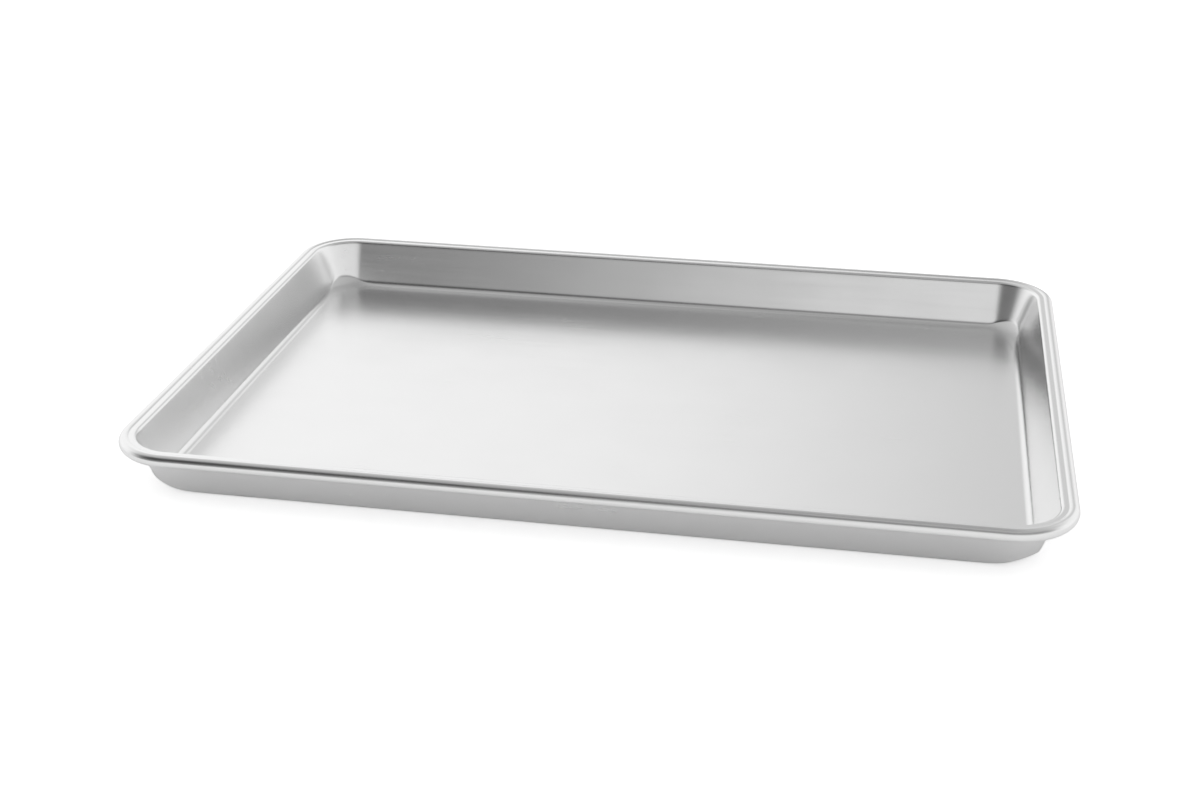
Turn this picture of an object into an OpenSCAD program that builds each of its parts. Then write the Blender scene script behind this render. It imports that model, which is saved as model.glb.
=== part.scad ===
// Jelly roll pan: one drawn aluminium sheet with a steel wire rolled into its rim.
// Units are millimetres, +Z is up, the pan's length runs along X and its width along Y.
// Origin: centre of the underside of the floor, which is the face the pan rests on.

/* [Overall] */
// length over the rim
pan_l = 403; // [380:0.5:470]
// width over the rim
pan_w = 290; // [270:0.5:340]
// height from the underside to the top of the rolled rim
pan_h = 24; // [20:0.5:30]
// thickness of the sheet
sheet_t = 0.9; // [0.7:0.05:1.1]

/* [Rim] */
// corner radius of the rim, seen from above
rim_corner_r = 28; // [25:0.5:36]
// outside diameter of the rolled bead
bead_d = 5.6; // [5.2:0.1:6.4]
// how far the sheet is rolled round the wire, in degrees
bead_wrap = 300; // [270:1:310]
// depth of the shallow groove between the bead and the rim's shoulder
groove_depth = 0.5; // [0.3:0.05:0.9]
// inner radius of the groove
groove_r = 1; // [0.6:0.1:1.4]
// outer radius of the shoulder where the wall turns out into the rim
shoulder_r = 1.8; // [1.4:0.1:2.2]
// distance from the rim's outer edge to the centre of the shoulder's bend
shoulder_in = 6.2; // [6:0.1:8]

/* [Walls and floor] */
// lean of the walls from upright, in degrees
wall_lean = 20; // [14:0.5:24]
// inner radius between the walls and the floor
floor_bend_r = 4; // [3:0.25:6]
// inner radius of the fuller bend in the corners of the floor
foot_bend_r = 16; // [15.5:0.25:18]
// distance from the rim's outer edge to the axis of a floor corner
foot_in = 45; // [42:0.5:47]

/* [Wire] */
// clearance between the wire and the inside of the bead
wire_clear = 0.1; // [0.05:0.05:0.25]
// gap between the two ends of the wire
wire_gap = 0.8; // [0.2:0.1:3]

/* [Hidden] */
eps = 0.02;
full_turn = 360;
quarter = 90;
bead_r = bead_d / 2;
bead_z = pan_h - bead_r;
wire_r = bead_r - sheet_t - wire_clear;
half_l = pan_l / 2;
half_w = pan_w / 2;
axis_x = half_l - rim_corner_r;
axis_y = half_w - rim_corner_r;
foot_x = half_l - foot_in;
foot_y = half_w - foot_in;
// profile points, with x counted outwards from the axis of a rim corner
bead_x = rim_corner_r - bead_r;
groove_turn = acos(1 - groove_depth / (bead_r + groove_r));
groove_x = bead_x - (bead_r + groove_r) * sin(groove_turn);
ledge_z = pan_h - groove_depth;
groove_z = ledge_z + groove_r;
shoulder_x = rim_corner_r - shoulder_in;
shoulder_z = ledge_z - shoulder_r;
wall_up = quarter - wall_lean;
bend_z = sheet_t + floor_bend_r;
bend_x = shoulder_x - (floor_bend_r + shoulder_r + (shoulder_z - bend_z) * cos(wall_up)) / sin(wall_up);
foot_r = foot_in - (rim_corner_r - bend_x);
foot_z = sheet_t + foot_bend_r;
foot_top = 10;
foot_turn = 62;
wedge_r = 60;
arc_fn = 64;
turn_fn = 64;

function polar(r, a) = [r * cos(a), r * sin(a)];

// A ring of two radii, kept between two angles.
module arc_strip(r_in, r_out, from, to) {
    steps = ceil((to - from) / 60);
    intersection() {
        difference() {
            circle(r = r_out, $fn = arc_fn);
            circle(r = r_in, $fn = arc_fn);
        }
        polygon(concat([[0, 0]], [for (i = [0 : steps]) polar(wedge_r, from + (to - from) * i / steps)]));
    }
}

// The walls, shoulder, groove and bead as one strip of sheet.
module rim_profile() {
    lap_a = 0.3;
    wall_dir = [sin(wall_up), -cos(wall_up)];
    along = [cos(wall_up), sin(wall_up)];
    foot_pt = [bend_x, bend_z];
    top_pt = [shoulder_x, shoulder_z];
    translate(foot_pt) arc_strip(floor_bend_r, floor_bend_r + sheet_t, -quarter - lap_a, -quarter + wall_up + lap_a);
    polygon([
        foot_pt + floor_bend_r * wall_dir,
        foot_pt + (floor_bend_r + sheet_t) * wall_dir,
        top_pt - (shoulder_r - sheet_t) * wall_dir,
        top_pt - shoulder_r * wall_dir
    ]);
    translate(top_pt) arc_strip(shoulder_r - sheet_t, shoulder_r, quarter - lap_a, quarter + wall_up + lap_a);
    translate([shoulder_x, ledge_z - sheet_t]) square([groove_x - shoulder_x, sheet_t]);
    translate([groove_x, groove_z]) arc_strip(groove_r, groove_r + sheet_t, -quarter - lap_a, -quarter + groove_turn + lap_a);
    translate([bead_x, bead_z]) arc_strip(bead_r - sheet_t, bead_r, quarter + groove_turn - bead_wrap, quarter + groove_turn + lap_a);
}

// Sweeps a profile once round the rounded rectangle of the rim.
module round_the_rim() {
    for (s = [-1, 1])
        translate([s * axis_x, 0, 0]) rotate([0, 0, s > 0 ? 0 : 180])
            translate([0, axis_y, 0]) rotate([quarter, 0, 0]) linear_extrude(height = 2 * axis_y) children();
    for (s = [-1, 1])
        translate([0, s * axis_y, 0]) rotate([0, 0, s > 0 ? quarter : -quarter])
            translate([0, axis_x, 0]) rotate([quarter, 0, 0]) linear_extrude(height = 2 * axis_x) children();
    for (i = [0 : 3]) {
        sx = (i == 0 || i == 3) ? 1 : -1;
        sy = (i < 2) ? 1 : -1;
        translate([sx * axis_x, sy * axis_y, 0]) rotate([0, 0, i * quarter])
            rotate_extrude(angle = quarter, $fn = turn_fn) children();
    }
}

module floor_plate() {
    reach = bend_x + eps;
    linear_extrude(height = sheet_t) {
        square([2 * axis_x, 2 * (axis_y + reach)], center = true);
        square([2 * (axis_x + reach), 2 * axis_y], center = true);
        for (x = [-axis_x, axis_x])
            for (y = [-axis_y, axis_y])
                translate([x, y]) circle(r = reach, $fn = arc_fn);
    }
}

// Everything outside the swept walls, near the floor.
module beyond_wall() {
    wall_dir = [sin(wall_up), -cos(wall_up)];
    foot_pt = [bend_x, bend_z];
    top_pt = [shoulder_x, shoulder_z];
    difference() {
        translate([bend_x, -1]) square([foot_in, foot_top + 6]);
        translate(foot_pt) circle(r = floor_bend_r + sheet_t, $fn = arc_fn);
        polygon([
            [bend_x - eps, bend_z],
            foot_pt + (floor_bend_r + sheet_t) * wall_dir,
            top_pt - (shoulder_r - sheet_t) * wall_dir,
            [bend_x - eps, top_pt[1]]
        ]);
    }
}

// Everything outside the fuller bend of a floor corner.
module beyond_foot() {
    difference() {
        translate([foot_r, -1]) square([foot_in, foot_top + 1]);
        translate([foot_r, foot_z]) circle(r = foot_bend_r + sheet_t, $fn = arc_fn);
    }
}

// The fuller bend as a piece of sheet in one corner, trimmed to the walls beside it.
module foot_sheet() {
    difference() {
        translate([foot_x, foot_y, 0]) rotate_extrude(angle = quarter, $fn = turn_fn)
            translate([foot_r, foot_z]) arc_strip(foot_bend_r, foot_bend_r + sheet_t, -quarter, -quarter + foot_turn);
        translate([axis_x, axis_y, 0]) rotate_extrude(angle = quarter, $fn = turn_fn) beyond_wall();
        translate([axis_x, axis_y, 0]) rotate([quarter, 0, 0]) linear_extrude(height = foot_in) beyond_wall();
        translate([axis_x - foot_in, axis_y, 0]) rotate([quarter, 0, quarter]) linear_extrude(height = foot_in) beyond_wall();
    }
}

module foot_cut() {
    translate([foot_x, foot_y, 0]) rotate_extrude(angle = quarter, $fn = turn_fn) beyond_foot();
}

module each_corner() {
    children();
    mirror([1, 0, 0]) children();
    mirror([0, 1, 0]) children();
    mirror([1, 0, 0]) mirror([0, 1, 0]) children();
}

module pan_body() {
    color([0.80, 0.80, 0.80]) {
        difference() {
            union() {
                floor_plate();
                round_the_rim() rim_profile();
            }
            each_corner() foot_cut();
        }
        each_corner() foot_sheet();
    }
}

module rim_wire() {
    color([0.62, 0.64, 0.66])
        difference() {
            round_the_rim() translate([bead_x, bead_z]) circle(r = wire_r, $fn = arc_fn);
            translate([0, half_w - bead_r, bead_z]) cube([wire_gap, bead_d, bead_d], center = true);
        }
}

pan_body();
rim_wire();
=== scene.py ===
"""Looks of the jelly roll pan: a drawn aluminium sheet with a wired, rolled rim, on a white surface."""
import math

import bpy
from mathutils import Matrix, Vector


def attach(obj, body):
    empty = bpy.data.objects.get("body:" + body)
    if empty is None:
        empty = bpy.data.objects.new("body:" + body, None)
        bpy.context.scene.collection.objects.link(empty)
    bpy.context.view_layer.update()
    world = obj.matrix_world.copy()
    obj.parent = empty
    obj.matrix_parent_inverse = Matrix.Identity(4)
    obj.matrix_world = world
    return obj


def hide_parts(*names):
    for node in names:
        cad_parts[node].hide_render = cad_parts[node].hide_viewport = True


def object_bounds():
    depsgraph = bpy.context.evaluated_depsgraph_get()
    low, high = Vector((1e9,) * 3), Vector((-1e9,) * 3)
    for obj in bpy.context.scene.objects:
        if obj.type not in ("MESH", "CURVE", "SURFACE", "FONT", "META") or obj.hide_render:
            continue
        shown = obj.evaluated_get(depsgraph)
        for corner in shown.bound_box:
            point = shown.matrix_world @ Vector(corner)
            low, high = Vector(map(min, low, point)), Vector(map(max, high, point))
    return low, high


MM = 0.001

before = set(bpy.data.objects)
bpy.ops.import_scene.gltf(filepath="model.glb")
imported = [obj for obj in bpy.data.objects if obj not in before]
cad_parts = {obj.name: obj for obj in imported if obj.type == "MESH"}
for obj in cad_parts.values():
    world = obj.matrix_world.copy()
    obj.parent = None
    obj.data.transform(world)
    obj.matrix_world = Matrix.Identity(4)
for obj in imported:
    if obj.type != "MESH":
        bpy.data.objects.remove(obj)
cad_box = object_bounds()

# The pan's length, width and depth over all, in millimetres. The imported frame's mesh is faceted and falls a few
# thousandths short of them, so they are its box to the nearest tenth.
PAN_L, PAN_W, PAN_H = (round((high - low) / MM, 1) for low, high in zip(*cad_box))

# Its other sizes, in millimetres and degrees.
SHEET = 0.9
RIM_CORNER_R = 28.0
BEAD_R = 2.8
BEAD_WRAP = 300.0
GROOVE_DEPTH, GROOVE_R = 0.5, 1.0
SHOULDER_R, SHOULDER_IN = 1.8, 6.2
WALL_UP = 70.0
BEND_R = 4.0
FOOT_R, FOOT_IN = 16.0, 45.0

# How finely the sheet is meshed, along its section.
FLOOR_STRIP, FLOOR_STRIPS = 0.5, 18
BEND_STEPS, WALL_STEPS, LEDGE_STEPS, GROOVE_STEPS = 12, 22, 4, 5
SHOULDER_TOP_STEPS, SHOULDER_UNDER_STEPS = 10, 8
BEAD_TOP_STEPS, BEAD_UNDER_STEPS = 56, 40

# And along the rim: steps round a corner, short ones beside it, and long ones down the middle of a side.
CORNER_STEPS = 36
NEAR_STEP, NEAR_STEPS = 0.9, 24
SIDE_STEPS = 12

# Where the fuller bend of the floor's corners counts, and how softly it runs into the walls, in millimetres.
FOOT_TOP, FOOT_NEAR, FOOT_SOFT = 11.0, 0.6, 0.5
FOOT_STEEPEST = 0.95
WELL_BELOW = 1.0

# The two faces of the sheet.
TOP, UNDER = 0, 1

# The camera, in millimetres, degrees and pixels of a 1200 by 800 picture.
FOCAL_PX, YAW, PITCH, ROLL = 1779.26, 10.323, 24.023, 0.20
TARGET_X, TARGET_Y, DISTANCE = -13.49, 0.47, 854.05
PICTURE_W, SENSOR = 1200.0, 36.0
NEAREST_SEEN = 0.01

# How often the streaks of the rolled metal turn over, along its length, across it and up.
STREAK_STRETCH = (4.0, 160.0, 60.0)

WHITE = (1.0, 1.0, 1.0, 1.0)

# The ground: its grey, the light that only the camera sees on it, half its width and its height in metres.
GROUND_GREY = (0.82, 0.82, 0.82, 1.0)
GROUND_LIFT = 0.5
GROUND_HALF, GROUND_Z = 6.0, -0.00005

# The studio that the metal reflects, as (angle, grey). In front it goes by height, on the left and the right.
FRONT_LEFT = [(-90, 0.9), (0, 0.85), (6, 0.22), (20, 0.17), (30, 0.05), (54, 0.05), (64, 0.38), (90, 0.30)]
FRONT_RIGHT = [(-90, 0.9), (22, 0.85), (34, 0.30), (54, 0.30), (64, 0.50), (90, 0.32)]
# How far the front has gone over from left to right, by the angle off straight ahead.
LEFT_TO_RIGHT = [(-80, 0.9), (-62, 0.0), (-17, 0.0), (-12, 0.22), (-8, 0.5), (-4, 0.95), (0, 0.9), (6, 1.0)]
# Behind the pan it goes by the angle off straight back, times a share that falls with height.
BEHIND = [(-60, 1.0), (-22, 1.0), (-8, 0.92), (0, 0.74), (4, 0.64), (12, 0.62), (22, 0.95), (80, 0.95)]
ABOVE_BEHIND = [(-90, 1.0), (34, 1.0), (50, 0.6), (90, 0.35)]
# Front and back run into each other over this much of the direction's own length.
FRONT_EDGE = 0.15


def sin(angle):
    return math.sin(math.radians(angle))


def cos(angle):
    return math.cos(math.radians(angle))


def arc(centre, radius, start, end, steps):
    """Points on an arc as (outward, up), both ends included."""
    turns = [start + (end - start) * i / steps for i in range(steps + 1)]
    return [(centre[0] + radius * cos(turn), centre[1] + radius * sin(turn)) for turn in turns]


def between(a, b, steps):
    """Points inside the straight run from a to b, without its ends."""
    return [(a[0] + (b[0] - a[0]) * i / steps, a[1] + (b[1] - a[1]) * i / steps) for i in range(1, steps)]


def rim_section():
    """The sheet's section from the floor's top face, out round the bead and back along its underside.

    Gives its points as (outward of the rim corner's axis, up, face), and how far out the floor's bend starts.
    """
    bead = (RIM_CORNER_R - BEAD_R, PAN_H - BEAD_R)
    turn = math.degrees(math.acos(1 - GROOVE_DEPTH / (BEAD_R + GROOVE_R)))
    bead_end = 90 + turn - BEAD_WRAP
    ledge = PAN_H - GROOVE_DEPTH
    groove = (bead[0] - (BEAD_R + GROOVE_R) * sin(turn), ledge + GROOVE_R)
    shoulder = (RIM_CORNER_R - SHOULDER_IN, ledge - SHOULDER_R)
    bend_z = SHEET + BEND_R
    wall_run = (shoulder[1] - bend_z) * cos(WALL_UP)
    bend_x = shoulder[0] - (BEND_R + SHOULDER_R + wall_run) / sin(WALL_UP)
    bend = (bend_x, bend_z)
    floor = [bend_x - FLOOR_STRIP * i for i in range(FLOOR_STRIPS, 0, -1)]

    top = [(x, SHEET) for x in floor]
    top += arc(bend, BEND_R, -90, -90 + WALL_UP, BEND_STEPS)
    over = arc(shoulder, SHOULDER_R, 90 + WALL_UP, 90, SHOULDER_TOP_STEPS)
    top += between(top[-1], over[0], WALL_STEPS) + over
    top += between(over[-1], (groove[0], ledge), LEDGE_STEPS)
    top += arc(groove, GROOVE_R, -90, -90 + turn, GROOVE_STEPS)
    top += arc(bead, BEAD_R, 90 + turn, bead_end, BEAD_TOP_STEPS)[1:]

    under = arc(bead, BEAD_R - SHEET, bead_end, 90 + turn, BEAD_UNDER_STEPS)
    under += arc(groove, GROOVE_R + SHEET, -90 + turn, -90, GROOVE_STEPS)[1:]
    under += between((groove[0], ledge - SHEET), (shoulder[0], ledge - SHEET), LEDGE_STEPS)
    under += arc(shoulder, SHOULDER_R - SHEET, 90, 90 + WALL_UP, SHOULDER_UNDER_STEPS)
    back = arc(bend, BEND_R + SHEET, -90 + WALL_UP, -90, BEND_STEPS)
    under += between(under[-1], back[0], WALL_STEPS) + back
    under += [(x, 0.0) for x in reversed(floor)]
    return [(x, z, TOP) for x, z in top] + [(x, z, UNDER) for x, z in under], bend_x


def rim_path():
    """Stations round the rectangle of the rim corners' axes, as a point and the direction outwards."""
    ax, ay = PAN_L / 2 - RIM_CORNER_R, PAN_W / 2 - RIM_CORNER_R
    corners = [(ax, ay, 0), (-ax, ay, 90), (-ax, -ay, 180), (ax, -ay, 270)]
    near = [NEAR_STEP * i for i in range(1, NEAR_STEPS + 1)]
    stations = []
    for i, (x, y, start) in enumerate(corners):
        for k in range(CORNER_STEPS + 1):
            turn = start + 90 * k / CORNER_STEPS
            stations.append((x, y, cos(turn), sin(turn)))
        next_x, next_y, _ = corners[(i + 1) % 4]
        length = math.hypot(next_x - x, next_y - y)
        middle = length - 2 * near[-1]
        runs = near + [near[-1] + middle * j / SIDE_STEPS for j in range(1, SIDE_STEPS)]
        runs += [length - run for run in reversed(near)]
        out_x, out_y = cos(start + 90), sin(start + 90)
        for run in runs:
            t = run / length
            stations.append((x + (next_x - x) * t, y + (next_y - y) * t, out_x, out_y))
    return stations


def foot_height(x, y, face, bend_x):
    """How high the fuller bend of a floor corner lies over a point of the plan, or below all outside it."""
    foot_x, foot_y = abs(x) - (PAN_L / 2 - FOOT_IN), abs(y) - (PAN_W / 2 - FOOT_IN)
    floor = SHEET if face == TOP else 0.0
    if foot_x <= 0 or foot_y <= 0:
        return floor - WELL_BELOW
    radius = FOOT_R if face == TOP else FOOT_R + SHEET
    out = math.hypot(foot_x, foot_y) - (FOOT_IN - RIM_CORNER_R + bend_x)
    if out <= 0:
        return floor
    out = min(out, radius * FOOT_STEEPEST)
    return floor + radius - math.sqrt(radius * radius - out * out)


def smooth_max(a, b, soft):
    """The larger of two heights, rounded over where they cross."""
    overlap = max(soft - abs(a - b), 0.0) / soft
    return max(a, b) + overlap * overlap * soft / 4


def sheet_height(x, y, up, face, bend_x):
    """The height of a section point, lifted onto the fuller bend where that lies above it."""
    if up >= FOOT_TOP:
        return up
    foot = foot_height(x, y, face, bend_x)
    floor = SHEET if face == TOP else 0.0
    if foot > up - FOOT_NEAR and foot > floor:
        return smooth_max(up, foot, FOOT_SOFT)
    return up


def pan_sheet():
    """The whole drawn sheet as one closed mesh: its section carried round the rim, and its floor."""
    section, bend_x = rim_section()
    stations = rim_path()
    count, rings = len(stations), len(section)
    verts, faces = [], []
    for axis_x, axis_y, out_x, out_y in stations:
        for out, up, face in section:
            x, y = axis_x + out * out_x, axis_y + out * out_y
            verts.append((x * MM, y * MM, sheet_height(x, y, up, face, bend_x) * MM))
    for i in range(count):
        here, there = i * rings, (i + 1) % count * rings
        for k in range(rings - 1):
            faces.append((here + k, here + k + 1, there + k + 1, there + k))
    faces.append([i * rings for i in range(count)])
    faces.append([i * rings + rings - 1 for i in reversed(range(count))])
    mesh = bpy.data.meshes.new("pan_sheet")
    mesh.from_pydata(verts, [], faces)
    mesh.validate()
    mesh.update()
    for polygon in mesh.polygons:
        polygon.use_smooth = True
    sheet = bpy.data.objects.new("pan_sheet", mesh)
    bpy.context.scene.collection.objects.link(sheet)
    return sheet


def add_node(tree, kind, inputs, **settings):
    """A new node with its settings, each of its inputs linked to a socket or set to a value."""
    node = tree.nodes.new(kind)
    for name, value in settings.items():
        setattr(node, name, value)
    for key, value in inputs.items():
        if isinstance(value, bpy.types.NodeSocket):
            tree.links.new(value, node.inputs[key])
        else:
            node.inputs[key].default_value = value
    return node


def add_noise(tree, where, scale, detail, roughness):
    inputs = {"Vector": where, "Scale": scale, "Detail": detail, "Roughness": roughness}
    return add_node(tree, "ShaderNodeTexNoise", inputs).outputs["Fac"]


def add_math(tree, operation, *values):
    return add_node(tree, "ShaderNodeMath", dict(enumerate(values)), operation=operation).outputs[0]


def rolled_finish():
    """A node group for rolled metal: streaks along its length, clouds of wear and a slight unevenness."""
    group = bpy.data.node_groups.new("rolled_finish", "ShaderNodeTree")
    group.interface.new_socket("Roughness", in_out="INPUT", socket_type="NodeSocketFloat")
    group.interface.new_socket("Grain", in_out="INPUT", socket_type="NodeSocketFloat")
    group.interface.new_socket("Roughness", in_out="OUTPUT", socket_type="NodeSocketFloat")
    group.interface.new_socket("Normal", in_out="OUTPUT", socket_type="NodeSocketVector")
    given = add_node(group, "NodeGroupInput", {}).outputs
    where = add_node(group, "ShaderNodeTexCoord", {}).outputs["Object"]
    along = add_node(group, "ShaderNodeMapping", {"Vector": where, "Scale": STREAK_STRETCH}).outputs["Vector"]
    streaks = add_noise(group, along, scale=3.0, detail=5.0, roughness=0.6)
    clouds = add_noise(group, where, scale=26.0, detail=4.0, roughness=0.55)
    waves = add_noise(group, where, scale=9.0, detail=2.0, roughness=0.5)
    wear = add_math(group, "MULTIPLY", streaks, clouds)
    spread = {"Value": wear, "From Min": 0.1, "From Max": 0.45, "To Min": 0.88, "To Max": 1.12}
    share = add_node(group, "ShaderNodeMapRange", spread).outputs["Result"]
    roughness = add_math(group, "MULTIPLY", given["Roughness"], share)
    uneven = {"Height": waves, "Strength": 0.12, "Distance": 0.002}
    uneven = add_node(group, "ShaderNodeBump", uneven).outputs["Normal"]
    grained = {"Height": streaks, "Strength": given["Grain"], "Distance": 0.0002, "Normal": uneven}
    grained = add_node(group, "ShaderNodeBump", grained).outputs["Normal"]
    add_node(group, "NodeGroupOutput", {"Roughness": roughness, "Normal": grained})
    return group


def rolled_metal(name, finish, grey, roughness, grain):
    """A metal of one grey with the rolled finish."""
    material = bpy.data.materials.new(name)
    material.use_nodes = True
    tree = material.node_tree
    shader = tree.nodes["Principled BSDF"].inputs
    given = {"Roughness": roughness, "Grain": grain}
    rolled = add_node(tree, "ShaderNodeGroup", given, node_tree=finish).outputs
    tree.links.new(rolled["Roughness"], shader["Roughness"])
    tree.links.new(rolled["Normal"], shader["Normal"])
    shader["Metallic"].default_value = 1.0
    shader["Base Color"].default_value = (grey, grey, grey, 1.0)
    return material


def pan_aluminium(finish):
    return rolled_metal("pan_aluminium", finish, grey=0.92, roughness=0.25, grain=0.10)


def wire_galvanised_steel(finish):
    return rolled_metal("wire_galvanised_steel", finish, grey=0.55, roughness=0.45, grain=0.20)


def ground_white():
    """A matt white that the camera alone sees lifted to pure white, except for the pan's soft shadow."""
    material = bpy.data.materials.new("white_ground")
    material.use_nodes = True
    tree = material.node_tree
    matt = tree.nodes["Principled BSDF"]
    matt.inputs["Base Color"].default_value = GROUND_GREY
    matt.inputs["Roughness"].default_value = 1.0
    matt.inputs["Specular IOR Level"].default_value = 0.0
    matt = matt.outputs["BSDF"]
    glow = add_node(tree, "ShaderNodeEmission", {"Color": WHITE, "Strength": GROUND_LIFT}).outputs["Emission"]
    lifted = add_node(tree, "ShaderNodeAddShader", {0: matt, 1: glow}).outputs["Shader"]
    to_camera = add_node(tree, "ShaderNodeLightPath", {}).outputs["Is Camera Ray"]
    seen = add_node(tree, "ShaderNodeMixShader", {0: to_camera, 1: matt, 2: lifted}).outputs["Shader"]
    tree.links.new(seen, tree.nodes["Material Output"].inputs["Surface"])
    return material


def ground():
    """The wide flat surface that the pan stands on, a hair below its underside."""
    half = GROUND_HALF
    corners = [(-half, -half, 0), (half, -half, 0), (half, half, 0), (-half, half, 0)]
    mesh = bpy.data.meshes.new("ground")
    mesh.from_pydata(corners, [], [(0, 1, 2, 3)])
    mesh.materials.append(ground_white())
    surface = bpy.data.objects.new("ground", mesh)
    surface.location.z = GROUND_Z
    bpy.context.scene.collection.objects.link(surface)


def add_greys(tree, angle, points):
    """The grey at an angle from -90 to 90 degrees, on straight lines through (angle, grey) points."""
    share = add_math(tree, "MULTIPLY_ADD", angle, 1 / 180, 0.5)
    ramp = add_node(tree, "ShaderNodeValToRGB", {"Fac": share})
    stops = ramp.color_ramp.elements
    stops.remove(stops[-1])
    stops[0].position = points[0][0] / 180 + 0.5
    for degrees, _ in points[1:]:
        stops.new(degrees / 180 + 0.5)
    for stop, (_, grey) in zip(stops, points):
        stop.color = (grey, grey, grey, 1.0)
    return ramp.outputs["Color"]


def add_blend(tree, share, first, second, blend="MIX"):
    inputs = {"Fac": share, "Color1": first, "Color2": second}
    return add_node(tree, "ShaderNodeMixRGB", inputs, blend_type=blend).outputs["Color"]


def studio():
    """A soft white studio: dark in front on the left, grey overhead and at the back on the right.

    Only reflections see its greys. The camera and the diffuse light see plain white.
    """
    world = bpy.data.worlds.new("studio")
    bpy.context.scene.world = world
    world.use_nodes = True
    tree = world.node_tree
    towards = add_node(tree, "ShaderNodeTexCoord", {}).outputs["Generated"]
    x, y, z = add_node(tree, "ShaderNodeSeparateXYZ", {"Vector": towards}).outputs
    per_radian = math.degrees(1)
    height = add_math(tree, "MULTIPLY", add_math(tree, "ARCSINE", z), per_radian)
    front = add_math(tree, "MULTIPLY", y, -1.0)
    aside = add_math(tree, "ARCTAN2", x, add_math(tree, "ABSOLUTE", front))
    aside = add_math(tree, "MULTIPLY", aside, per_radian)
    across = add_greys(tree, aside, LEFT_TO_RIGHT)
    ahead = add_blend(tree, across, add_greys(tree, height, FRONT_LEFT), add_greys(tree, height, FRONT_RIGHT))
    level = add_greys(tree, aside, BEHIND)
    behind = add_blend(tree, 1.0, level, add_greys(tree, height, ABOVE_BEHIND), blend="MULTIPLY")
    edge = {"Value": front, "From Min": -FRONT_EDGE, "From Max": FRONT_EDGE}
    is_front = add_node(tree, "ShaderNodeMapRange", edge).outputs["Result"]
    greys = add_blend(tree, is_front, behind, ahead)
    in_metal = add_node(tree, "ShaderNodeLightPath", {}).outputs["Is Glossy Ray"]
    background = tree.nodes["Background"].inputs
    tree.links.new(add_blend(tree, in_metal, WHITE, greys), background["Color"])
    background["Strength"].default_value = 1.0
    world.cycles.sampling_method = "NONE"


def camera():
    """The camera at the photograph's viewing angle."""
    forward = Vector((-sin(YAW) * cos(PITCH), cos(YAW) * cos(PITCH), -sin(PITCH)))
    level = forward.cross(Vector((0, 0, 1))).normalized()
    upright = level.cross(forward)
    right = level * cos(ROLL) + upright * sin(ROLL)
    up = upright * cos(ROLL) - level * sin(ROLL)
    place = Vector((TARGET_X, TARGET_Y, 0)) * MM - forward * DISTANCE * MM
    data = bpy.data.cameras.new("camera")
    data.sensor_width = SENSOR
    data.lens = SENSOR * FOCAL_PX / PICTURE_W
    data.clip_start = NEAREST_SEEN
    view = bpy.data.objects.new("camera", data)
    axes = Matrix((right, up, -forward)).transposed().to_4x4()
    view.matrix_world = Matrix.Translation(place) @ axes
    bpy.context.scene.collection.objects.link(view)
    bpy.context.scene.camera = view


def dress_pan(finish):
    """The finer sheet takes the place of the pan's solid."""
    sheet = pan_sheet()
    sheet.data.materials.append(pan_aluminium(finish))
    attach(sheet, "root")
    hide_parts("pan_body")


def dress_wire(finish):
    """The wire keeps its own solid, in galvanised steel."""
    steel = wire_galvanised_steel(finish)
    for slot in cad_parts["rim_wire"].material_slots:
        slot.material = steel


bpy.context.scene.view_settings.view_transform = "Standard"
camera()
studio()
ground()
metal_finish = rolled_finish()
dress_pan(metal_finish)
dress_wire(metal_finish)
